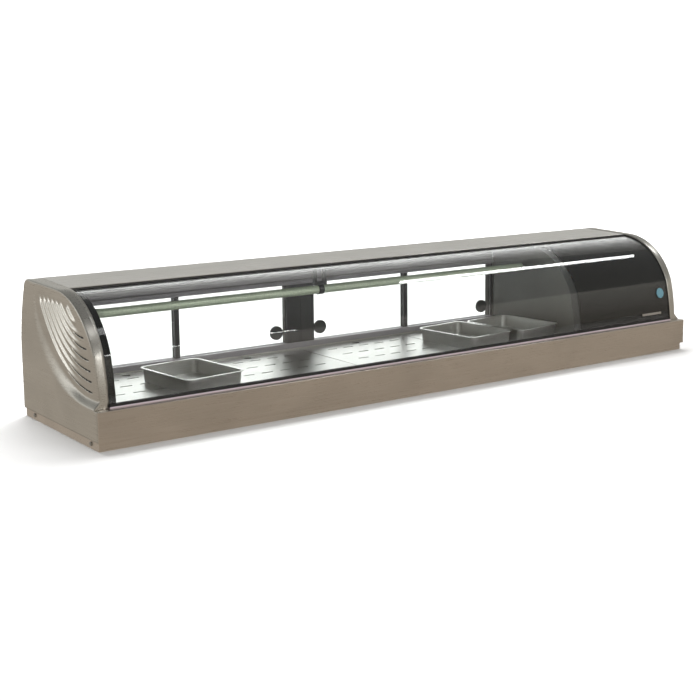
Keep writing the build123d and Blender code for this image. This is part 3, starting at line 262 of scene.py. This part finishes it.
MATERIALS = {
    # painted light: side, front skirt and roof are copies of one brushed stainless whose colours differ to
    # match how much light falls on each, the roof painted lightest
    "brushed_side": brushed("brushed_side", (0.60, 0.585, 0.54), "y"),
    "brushed_front": brushed("brushed_front", (0.67, 0.62, 0.56), "x", change=0.05),
    "brushed_roof": brushed("brushed_roof", (0.80, 0.79, 0.76), "x"),
    "liner_steel": brushed("liner_steel", (0.56, 0.56, 0.55), "x", rough=(0.30, 0.45)),
    "tray_steel": brushed("tray_steel", (0.60, 0.60, 0.59), "x", rough=(0.30, 0.40), grain=420.0,
                          strength=0.05),
    "galvanised": galvanised("galvanised"),
    "fastener_steel": speckled("fastener_steel", (0.55, 0.55, 0.54), rough=(0.25, 0.38), metallic=1.0),
    "track_aluminium": speckled("track_aluminium", (0.34, 0.315, 0.345), rough=(0.34, 0.46), metallic=0.35),
    "pipe_aluminium": speckled("pipe_aluminium", (0.44, 0.49, 0.38), rough=(0.34, 0.48), change=0.14,
                               scale=260.0, metallic=0.3, depth=0.0004),
    "fin_aluminium": brushed("fin_aluminium", (0.62, 0.63, 0.64), "z", rough=(0.30, 0.45)),
    "frame_black": speckled("frame_black", (0.022, 0.020, 0.022), rough=(0.30, 0.42)),
    "compressor_black": speckled("compressor_black", (0.018, 0.018, 0.020), rough=(0.28, 0.45), depth=0.0003),
    "clear_glass": glass("clear_glass", (0.965, 0.985, 0.975)),
    "door_glass": glass("door_glass", (0.955, 0.985, 0.97), 1.49),
    # matt black, because the glass in front of the print gives it its gloss
    "mask_black": speckled("mask_black", (0.004, 0.004, 0.004), rough=(0.5, 0.6), strength=0.0, specular=0.0),
    "seal_black": speckled("seal_black", (0.014, 0.014, 0.014), rough=(0.5, 0.7)),
    "seal_pale": two_tone("seal_pale", (0.72, 0.62, 0.68), (0.012, 0.012, 0.013), 0.0741),
    "foam": foam("foam"),
    # the grey walls get painted shade on their edge faces
    "wall_grey": paint_edge_shade(speckled("wall_grey", (0.075, 0.073, 0.066), rough=(0.36, 0.5))),
    "black_plastic": speckled("black_plastic", (0.020, 0.020, 0.021), rough=(0.35, 0.5), depth=0.0002),
    "white_plastic": speckled("white_plastic", (0.72, 0.72, 0.69), rough=(0.32, 0.45)),
    "copper": brushed("copper", (0.72, 0.36, 0.22), "x", rough=(0.22, 0.38), grain=200.0),
    "badge_blue": speckled("badge_blue", (0.16, 0.34, 0.42), rough=(0.2, 0.3), metallic=0.3),
    "bar_silver": brushed("bar_silver", (0.55, 0.54, 0.53), "x", rough=(0.25, 0.4)),
}
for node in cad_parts.values():
    for slot in node.material_slots:
        slot.material = MATERIALS[slot.material.name.split(".")[0]]

# ---------------------------------------------------------------- shape helpers


def circle_through(p, q, r):
    """Centre and radius of the circle through three points."""
    (ax, ay), (bx, by), (cx, cy) = p, q, r
    d = 2 * (ax * (by - cy) + bx * (cy - ay) + cx * (ay - by))
    a2, b2, c2 = ax * ax + ay * ay, bx * bx + by * by, cx * cx + cy * cy
    centre = np.array([(a2 * (by - cy) + b2 * (cy - ay) + c2 * (ay - by)) / d,
                       (a2 * (cx - bx) + b2 * (ax - cx) + c2 * (bx - ax)) / d])
    return centre, math.hypot(ax - centre[0], ay - centre[1])


def arc(p, q, r, count):
    """Points along the circular arc through three points."""
    centre, radius = circle_through(p, q, r)
    first, _, last = np.unwrap([math.atan2(y - centre[1], x - centre[0]) for x, y in (p, q, r)])
    angles = np.linspace(first, last, count)
    return centre + radius * np.stack([np.cos(angles), np.sin(angles)], 1)


def resample(points, step):
    """The same line with evenly spaced points."""
    lengths = np.concatenate([[0], np.cumsum(np.linalg.norm(np.diff(points, axis=0), axis=1))])
    marks = np.linspace(0, lengths[-1], int(lengths[-1] / step) + 1)
    return np.stack([np.interp(marks, lengths, points[:, k]) for k in (0, 1)], 1)


def soften(points, window):
    """Rounds corners by a moving average that keeps the ends."""
    reach = window // 2
    ahead = 2 * points[0] - points[reach:0:-1]
    behind = 2 * points[-1] - points[-2:-reach - 2:-1]
    padded = np.concatenate([ahead, points, behind])
    kernel = np.ones(window) / window
    return np.stack([np.convolve(padded[:, k], kernel, "valid") for k in (0, 1)], 1)


def normals_of(points):
    """Unit normals to the left of the direction of travel."""
    along = np.gradient(points, axis=0)
    along /= np.maximum(np.linalg.norm(along, axis=1), 1e-9)[:, None]
    return np.stack([-along[:, 1], along[:, 0]], 1)


def smooth_line(points, count=60):
    """Dense points along a Catmull-Rom spline through a few points."""
    p = np.array([2 * np.array(points[0]) - np.array(points[1]), *points,
                  2 * np.array(points[-1]) - np.array(points[-2])], float)
    t = np.linspace(0, 1, count, endpoint=False)[:, None]
    spans = [
        0.5 * (2 * b + (c - a) * t + (2 * a - 5 * b + 4 * c - d) * t**2 + (3 * b - a - 3 * c + d) * t**3)
        for a, b, c, d in zip(p, p[1:], p[2:], p[3:])
    ]
    return np.concatenate([*spans, p[-2:-1]])


NEAREST_BATCH = 4000


def nearest(points, line):
    """Distance to a line, left of travel positive, and the share of its length at the nearest point."""
    steps = np.gradient(line, axis=0)
    distance = np.empty(len(points))
    share = np.empty(len(points))
    for start in range(0, len(points), NEAREST_BATCH):
        part = points[start:start + NEAREST_BATCH]
        gaps = part[:, None, :] - line[None, :, :]
        squared = (gaps**2).sum(2)
        at_index = squared.argmin(1)
        rows = np.arange(len(part))
        gap, step = gaps[rows, at_index], steps[at_index]
        side = np.sign(step[:, 0] * gap[:, 1] - step[:, 1] * gap[:, 0])
        distance[start:start + NEAREST_BATCH] = side * np.sqrt(squared[rows, at_index])
        share[start:start + NEAREST_BATCH] = at_index / (len(line) - 1)
    return distance, share


def make_piece(name, points, faces, materials, body="case", face_slots=None):
    """Smooth-shaded mesh object that rides on a CAD body. Points are millimetres."""
    mesh = bpy.data.meshes.new(name)
    metres = np.array(points, float) / 1000 + np.array([LEFT, FRONT, 0.0])
    mesh.from_pydata(metres.tolist(), [], faces)
    for material in materials:
        mesh.materials.append(material)
    if face_slots is not None:
        mesh.polygons.foreach_set("material_index", face_slots)
    mesh.polygons.foreach_set("use_smooth", [True] * len(mesh.polygons))
    mesh.update()
    piece = bpy.data.objects.new(name, mesh)
    bpy.context.scene.collection.objects.link(piece)
    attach(piece, body)
    return piece


def face_outwards(mesh):
    """Turn every face of a closed mesh so that its normal points out of the material."""
    shell = bmesh.new()
    shell.from_mesh(mesh)
    bmesh.ops.recalc_face_normals(shell, faces=shell.faces)
    shell.to_mesh(mesh)
    shell.free()


# ---------------------------------------------------------------- end caps

CAP_WIDTH = (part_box("end_cap_left")[1].x - LEFT) * 1000
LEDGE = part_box("front_skirt")[1].z * 1000
SIDE_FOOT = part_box("front_skirt")[0].z * 1000
DEPTH = (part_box("end_cap_left")[1].y - FRONT) * 1000
RIM_RADIUS = 2.6
SHEET = 1.5

CAP_OUTLINE = soften(resample(np.concatenate([
    arc((16.3, LEDGE), (20.9, 114), (31, 163), 60),
    arc((31, 163), (82.5, 233.2), (168, 265), 120)[1:],
    [(300, 270)],
    arc((300, 270), (313.5, 263.5), (319, 250), 20)[1:],
    arc((319, 250), (339, 184), (DEPTH, 140), 40)[1:],
    [(DEPTH, LEDGE)],
]), 1.0), 11)

RECESS_OUTER = smooth_line([(0, 71.5), (80, 74), (163, 92), (234, 139), (269, 195), (272, 240), (262, 275)])
RECESS_INNER = smooth_line([(0, 85), (80, 88), (146, 112), (210, 155), (252, 200), (263, 240), (256, 275)])


def rib_line(number):
    """Centre line of a rib on the recess floor, from its upper rear end to its lower front end."""
    if number == 6:
        start, pull, end = (128, 240), (110, 214), (86, 210)
    else:
        start = (248 - 18 * number, 250 - 0.28 * number**2)
        pull = (175 - 12 * number, 98 + 18.5 * number)
        end = (32 + 1.2 * number**2, 100 + 18.8 * number)
    t = np.linspace(0, 1, 160)[:, None]
    return (1 - t)**2 * np.array(start) + 2 * t * (1 - t) * np.array(pull) + t**2 * np.array(end)


def recess_depth(points):
    """How far each point of the side face is pressed in, and where the slits are."""
    outer, _ = nearest(points, RECESS_OUTER)
    inner, _ = nearest(points, RECESS_INNER)
    share = np.clip(outer / np.maximum(outer - np.minimum(inner, 0), 1e-6), 0, 1)
    share = np.where(inner >= 0, 1.0, share)
    share = 0.45 * share + 0.55 * share * share * (3 - 2 * share)
    depth = (13.6 - 0.0282 * points[:, 0] - 0.019 * points[:, 1]) * share
    slit = np.zeros(len(points))
    for number in range(7):
        across, along = nearest(points, rib_line(number))
        across = -across
        wide = np.where(across > 0, 8.0, 3.6)
        ridge = np.where(np.abs(across) < wide, np.cos(np.pi / 2 * across / wide)**2, 0)
        height = 3.0 * smoothstep(0.0, 0.07, along) * (1 - smoothstep(0.5, 0.9, along))
        depth = depth - ridge * height * (along > 0) * (along < 1)
        if number < 6:
            groove = 1 - smoothstep(0.7, 1.3, np.abs(across + 3.4))
            groove *= smoothstep(0.56, 0.64, along) * (1 - smoothstep(0.95, 0.965, along))
            slit = np.maximum(slit, groove)
    return depth + 1.9 * slit, slit


def cap_mesh():
    """Points, faces and face slots of the left end cap's outer skin, with the slit faces in the painted shade
    slot.
    """
    outward = normals_of(CAP_OUTLINE)
    centre = np.array([200.0, 150.0])
    if ((CAP_OUTLINE - centre) * outward).sum() < 0:
        outward = -outward
    inset = CAP_OUTLINE - outward * RIM_RADIUS
    top = inset[:, 1].argmax()
    rows = np.concatenate([
        np.arange(LEDGE, 90, 1.6), np.arange(90, 256, 1.15), np.linspace(256, inset[top, 1], 26),
    ])
    front = np.interp(rows, inset[:top + 1, 1], inset[:top + 1, 0])
    rear = np.interp(rows, inset[top:, 1][::-1], inset[top:, 0][::-1])
    shares = np.concatenate([np.linspace(0, 0.8, 205), np.linspace(0.8, 1, 14)[1:]])
    across = front[:, None] + (rear - front)[:, None] * shares[None, :]
    flat = np.stack([across.ravel(), np.repeat(rows, len(shares))], 1)
    depth, slit = recess_depth(flat)
    points = [np.column_stack([depth, flat])]
    count_rows, count_columns = len(rows), len(shares)
    index = np.arange(count_rows * count_columns).reshape(count_rows, count_columns)
    faces = np.stack([index[:-1, :-1], index[1:, :-1], index[1:, 1:], index[:-1, 1:]], 2).reshape(-1, 4)
    # painted shade: slit faces take the black seal material in place of the shade inside the louvre slits
    dark = slit[faces].mean(1) > 0.4

    # the rim: a rounded corner all round, then the band that wraps over the front, roof and rear
    loop = np.concatenate([index[:-1, 0], index[-1, :], index[-2::-1, -1]])
    line = flat[loop]
    level = depth[loop]
    normal = normals_of(line)
    if ((line - centre) * normal).sum() < 0:
        normal = -normal
    ring_before = loop
    total = len(flat)
    rim_faces = []
    rear_ring = [loop[-1]]
    places = [(RIM_RADIUS * math.sin(a), RIM_RADIUS * (1 - math.cos(a)), 0.0)
              for a in np.radians([15, 30, 45, 60, 75, 90])]
    places += [(RIM_RADIUS, RIM_RADIUS, share) for share in (0.33, 0.66, 1.0)]
    for out, across_x, share in places:
        x = level + across_x
        x = x + (CAP_WIDTH - x) * share
        ring_line = line + normal * out
        ring_line[0, 1] = ring_line[-1, 1] = LEDGE
        points.append(np.column_stack([x, ring_line]))
        ring = np.arange(total, total + len(loop))
        total += len(loop)
        rim_faces.append(np.stack([ring_before[:-1], ring[:-1], ring[1:], ring_before[1:]], 1))
        rear_ring.append(ring[-1])
        ring_before = ring

    # the side below the ledge, and its return at the rear
    every = np.concatenate(points)
    upper = np.concatenate([index[0, :], rear_ring[1:]])
    base = every[upper]
    front_strip = np.array([[0.0, SHEET, LEDGE], [0.0, (SHEET + base[0, 1]) / 2, LEDGE]])
    points.append(front_strip)
    upper = np.concatenate([[total, total + 1], upper])
    total += 2
    base = np.concatenate([front_strip, base])
    lower_faces = []
    for z in (LEDGE - 2, 58, 44, 30, SIDE_FOOT + 2, SIDE_FOOT):
        row = base.copy()
        row[:, 2] = z
        points.append(row)
        ring = np.arange(total, total + len(row))
        total += len(row)
        lower_faces.append(np.stack([ring[:-1], upper[:-1], upper[1:], ring[1:]], 1))
        upper = ring
    points = np.concatenate(points)
    everything = np.concatenate([faces, *rim_faces, *lower_faces])
    slots = np.concatenate([dark.astype(int), np.zeros(len(everything) - len(faces), int)])
    return points, everything, slots


cap_points, cap_faces, cap_slots = cap_mesh()
for side, name in (("left", "end_cap_left"), ("right", "end_cap_right")):
    points = cap_points.copy()
    faces = cap_faces
    if side == "right":
        points[:, 0] = WIDTH - points[:, 0]
        faces = faces[:, ::-1]
    # the second slot paints the slit faces black as shade
    skin = make_piece(f"pressed_cap_{side}", points, faces.tolist(),
                      [MATERIALS["brushed_side"], MATERIALS["seal_black"]], face_slots=cap_slots)
    wall = skin.modifiers.new("wall", "SOLIDIFY")
    wall.thickness = SHEET / 1000
    wall.offset = -1
    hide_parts(name)

# ---------------------------------------------------------------- curved glass and its printed masks


LOWER_SAMPLES, UPPER_SAMPLES = 90, 180
CREASE = np.array([31.0, 163.0])
CURVE_TOP = np.array([171.0, 261.8])
LOWER_CENTRE, LOWER_RADIUS = circle_through((15.6, 64), (20.9, 114), CREASE)
UPPER_CENTRE, UPPER_RADIUS = circle_through(CREASE, (82.5, 231.7), CURVE_TOP)


def front_curve(depth, foot):
    """The front profile at a depth inside the glass's outer face, from a foot height to the roof."""
    lower, upper = LOWER_RADIUS - depth, UPPER_RADIUS - depth
    span = UPPER_CENTRE - LOWER_CENTRE
    gap = np.linalg.norm(span)
    along = (lower**2 - upper**2 + gap**2) / (2 * gap)
    aside = math.sqrt(lower**2 - along**2)
    unit = span / gap
    crossings = [LOWER_CENTRE + unit * along + np.array([-unit[1], unit[0]]) * k * aside for k in (1, -1)]
    crease = min(crossings, key=lambda point: np.linalg.norm(point - CREASE))
    lift = foot - LOWER_CENTRE[1]
    angles = []
    for point, centre in (((LOWER_CENTRE[0] - math.sqrt(lower**2 - lift**2), foot), LOWER_CENTRE),
                          (crease, LOWER_CENTRE), (crease, UPPER_CENTRE), (CURVE_TOP, UPPER_CENTRE)):
        angles.append(math.atan2(point[1] - centre[1], point[0] - centre[0]) % (2 * math.pi))
    parts = []
    for centre, radius, start, end, count in ((LOWER_CENTRE, lower, *angles[:2], LOWER_SAMPLES),
                                              (UPPER_CENTRE, upper, *angles[2:], UPPER_SAMPLES)):
        sweep_angles = np.linspace(start, end, count)
        parts.append(centre + radius * np.stack([np.cos(sweep_angles), np.sin(sweep_angles)], 1))
    return soften(np.concatenate([parts[0][:-1], parts[1]]), 5)


def curved_strips(name, stretches, outer, inner, foot, material, node):
    """Sheets that follow the front curve between two depths, over stretches of the case's length."""
    profile = np.concatenate([front_curve(outer, foot), front_curve(inner, foot)[::-1]])
    count = len(profile)
    half = count // 2
    points, faces = [], []
    for start, end in stretches:
        base = len(points)
        for x in (start, end):
            points += [(x, s, z) for s, z in profile]
        faces += [(base + k, base + (k + 1) % count, base + count + (k + 1) % count, base + count + k)
                  for k in range(count)]
        for offset, order in ((0, -1), (count, 1)):
            for k in range(half - 1):
                quad = (k, k + 1, count - 2 - k, count - 1 - k)[::-order]
                faces.append(tuple(base + offset + corner for corner in quad))
    sheet = make_piece(name, points, faces, [material])
    face_outwards(sheet.data)
    sheet.data.set_sharp_from_angle(angle=math.radians(50))
    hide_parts(node)
    return sheet


GLASS_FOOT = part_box("front_glass")[0].z * 1000
GLASS_THICK = 5
MASK_GAP = 0.08
MASK_DEPTH = 0.5
LEFT_MASK_WIDTH = 14
MASK_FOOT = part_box("glass_masks")[0].z * 1000
GLASS_ENDS = [(corner.x - LEFT) * 1000 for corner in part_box("front_glass")]
PARTITION_END = (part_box("partition")[1].x - LEFT) * 1000
MASK_STRETCHES = [(GLASS_ENDS[0], GLASS_ENDS[0] + LEFT_MASK_WIDTH), (PARTITION_END, GLASS_ENDS[1])]
pane = curved_strips("curved_pane", [GLASS_ENDS], 0, GLASS_THICK, GLASS_FOOT, MATERIALS["clear_glass"],
                     "front_glass")
printed = curved_strips("printed_masks", MASK_STRETCHES, GLASS_THICK + MASK_GAP, GLASS_THICK + MASK_DEPTH,
                        MASK_FOOT, MATERIALS["mask_black"], "glass_masks")

# ---------------------------------------------------------------- rounded edges of folded and moulded parts


EDGE_ANGLE, EDGE_SEGMENTS = math.radians(35), 2


def ease(name, width):
    """Small rounded edges on a CAD part, as folding and moulding leave them."""
    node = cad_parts[name]
    weld = node.modifiers.new("weld", "WELD")
    weld.merge_threshold = 0.00001
    bevel = node.modifiers.new("edges", "BEVEL")
    bevel.width = width / 1000
    bevel.segments = EDGE_SEGMENTS
    bevel.limit_method = "ANGLE"
    bevel.angle_limit = EDGE_ANGLE
    bevel.harden_normals = True


EASED_EDGES = {
    "front_skirt": 1.2, "roof_panel": 1.0, "centre_post": 0.6, "upper_track": 0.5, "lower_track": 0.5,
    "door_1_stile": 0.5, "door_2_stile": 0.5, "door_3_stile": 0.5, "door_4_stile": 0.5, "terminal_box": 1.0,
}
for part_name, edge_width in EASED_EDGES.items():
    ease(part_name, edge_width)

# ---------------------------------------------------------------- floor, light and camera

YAW, PITCH, ROLL = 0.615014, 0.151215, -0.011192
VIEW_TURN = Matrix.Rotation(-YAW, 3, "Z")
FLOOR_EDGE, FLOOR_END, WALL_TOP, SWEEP_RADIUS, HALF_WIDTH = -9.0, 4.5, 7.0, 1.5, 12

# the floor bends up into a wall behind the case, square to the camera's view
floor_mesh = bpy.data.meshes.new("floor")
sweep = [(FLOOR_EDGE, 0.0), (FLOOR_END, 0.0)]
sweep += [(FLOOR_END + SWEEP_RADIUS * math.sin(a), SWEEP_RADIUS - SWEEP_RADIUS * math.cos(a))
          for a in np.radians(np.arange(7.5, 91, 7.5))]
sweep += [(FLOOR_END + SWEEP_RADIUS, WALL_TOP)]
sweep_points = [VIEW_TURN @ Vector((x, y, z)) for y, z in sweep for x in (-HALF_WIDTH, HALF_WIDTH)]
floor_mesh.from_pydata(sweep_points, [],
                       [(2 * k, 2 * k + 1, 2 * k + 3, 2 * k + 2) for k in range(len(sweep) - 1)])
floor_mesh.polygons.foreach_set("use_smooth", [True] * len(floor_mesh.polygons))
floor = bpy.data.objects.new("floor", floor_mesh)
bpy.context.scene.collection.objects.link(floor)
floor_look = Nodes("floor")
floor_tone = floor_look.ramp(floor_look.noise((1.5, 1.5, 1.5)),
                             [(0.3, (0.90, 0.90, 0.90)), (0.7, (0.92, 0.92, 0.92))])
floor_look.join(floor_tone, floor_look.shader.inputs["Base Color"])
floor_look.set(Roughness=0.8)
floor_mesh.materials.append(floor_look.material)
floor.visible_glossy = False

world = bpy.data.worlds.new("studio")
bpy.context.scene.world = world
world.use_nodes = True
sky = world.node_tree
# a dim room with a pale wall and a brownish floor, which the case reflects and which fills its shadows
where = sky.nodes.new("ShaderNodeTexCoord")
split = sky.nodes.new("ShaderNodeSeparateXYZ")
sky.links.new(where.outputs["Generated"], split.inputs["Vector"])


def sky_ramp(source, stops):
    """Colour ramp over a direction component from -1 to 1."""
    spread = sky.nodes.new("ShaderNodeMapRange")
    spread.inputs["From Min"].default_value = -1.0
    ramp = sky.nodes.new("ShaderNodeValToRGB")
    for position, colour in stops:
        ramp.color_ramp.elements.new((position + 1) / 2).color = (*colour, 1)
    ramp.color_ramp.elements.remove(ramp.color_ramp.elements[0])
    ramp.color_ramp.elements.remove(ramp.color_ramp.elements[-1])
    sky.links.new(split.outputs[source], spread.inputs["Value"])
    sky.links.new(spread.outputs["Result"], ramp.inputs["Fac"])
    return ramp.outputs["Color"]


room = sky_ramp("Z", [(-0.60, (0.40, 0.36, 0.31)), (-0.12, (0.56, 0.50, 0.44)), (0.02, (0.50, 0.47, 0.43)),
                      (0.22, (1.02, 1.01, 0.97)), (0.36, (0.38, 0.38, 0.37)), (0.85, (0.26, 0.26, 0.26))])
wall = sky_ramp("Y", [(-0.9, (0.74, 0.71, 0.67)), (-0.2, (0.82, 0.81, 0.79)), (0.3, (0.84, 0.84, 0.83)),
                      (0.9, (0.90, 0.90, 0.89))])
light_room = sky.nodes.new("ShaderNodeMixRGB")
light_room.blend_type = "MULTIPLY"
light_room.inputs["Fac"].default_value = 1.0
sky.links.new(room, light_room.inputs["Color1"])
sky.links.new(wall, light_room.inputs["Color2"])
sky.links.new(light_room.outputs["Color"], sky.nodes["Background"].inputs["Color"])


def softbox(name, place, target, size, power, in_reflections=True):
    """Rectangular soft light aimed at a point. A broad one stays out of reflections and of the glass."""
    data = bpy.data.lights.new(name, "AREA")
    data.shape = "RECTANGLE"
    data.size, data.size_y = size
    data.energy = power
    lamp = bpy.data.objects.new(name, data)
    bpy.context.scene.collection.objects.link(lamp)
    lamp.location = place
    lamp.visible_camera = False
    if not in_reflections:
        lamp.visible_glossy = False
        lamp.visible_transmission = False
    lamp.rotation_mode = "QUATERNION"
    lamp.rotation_quaternion = (Vector(target) - Vector(place)).to_track_quat("-Z", "Y")


softbox("overhead", (0.1, 1.0, 2.3), (0, 0, 0), (2.4, 1.1), 90, in_reflections=False)
softbox("front_fill", (-1.2, -2.6, 1.6), (0, 0, 0.1), (2.0, 1.2), 24, in_reflections=False)
softbox("wall_wash", VIEW_TURN @ Vector((0, 2.6, 2.8)), VIEW_TURN @ Vector((0, 6.0, 1.3)), (7.0, 1.5), 480,
        in_reflections=False)
softbox("strip", (1.95, -0.14, 2.0), (1.95, -0.14, 0.0), (1.30, 0.17), 10)
softbox("side_window", (-2.4, 1.1, 0.52), (-0.74, 0.0, 0.17), (0.4, 0.7), 2.6)
softbox("rim_light", (0.0, -1.0, 1.84), (-0.7, -0.14, 0.18), (0.6, 0.3), 1.3)
softbox("crease_light", (0.42, -1.96, 0.93), (-0.55, -0.14, 0.163), (0.86, 0.12), 4.4)

CAMERA_PLACE = Vector((-1.60875, -2.13680, 0.58637))
LENS, SENSOR_WIDTH, SHIFT_UP = 65.03, 36, -0.0756
forward = Vector((math.sin(YAW) * math.cos(PITCH), math.cos(YAW) * math.cos(PITCH), -math.sin(PITCH)))
level_right = Vector((math.cos(YAW), -math.sin(YAW), 0))
level_up = level_right.cross(forward)
right = level_right * math.cos(ROLL) + level_up * math.sin(ROLL)
up = level_up * math.cos(ROLL) - level_right * math.sin(ROLL)
camera_data = bpy.data.cameras.new("camera")
camera_data.sensor_width = SENSOR_WIDTH
camera_data.lens = LENS
camera_data.shift_y = SHIFT_UP
camera_data.clip_start, camera_data.clip_end = 0.05, 60
camera = bpy.data.objects.new("camera", camera_data)
bpy.context.scene.collection.objects.link(camera)
camera.matrix_world = Matrix.Translation(CAMERA_PLACE) @ Matrix((right, up, -forward)).transposed().to_4x4()
bpy.context.scene.camera = camera
bpy.context.scene.view_settings.view_transform = "Standard"
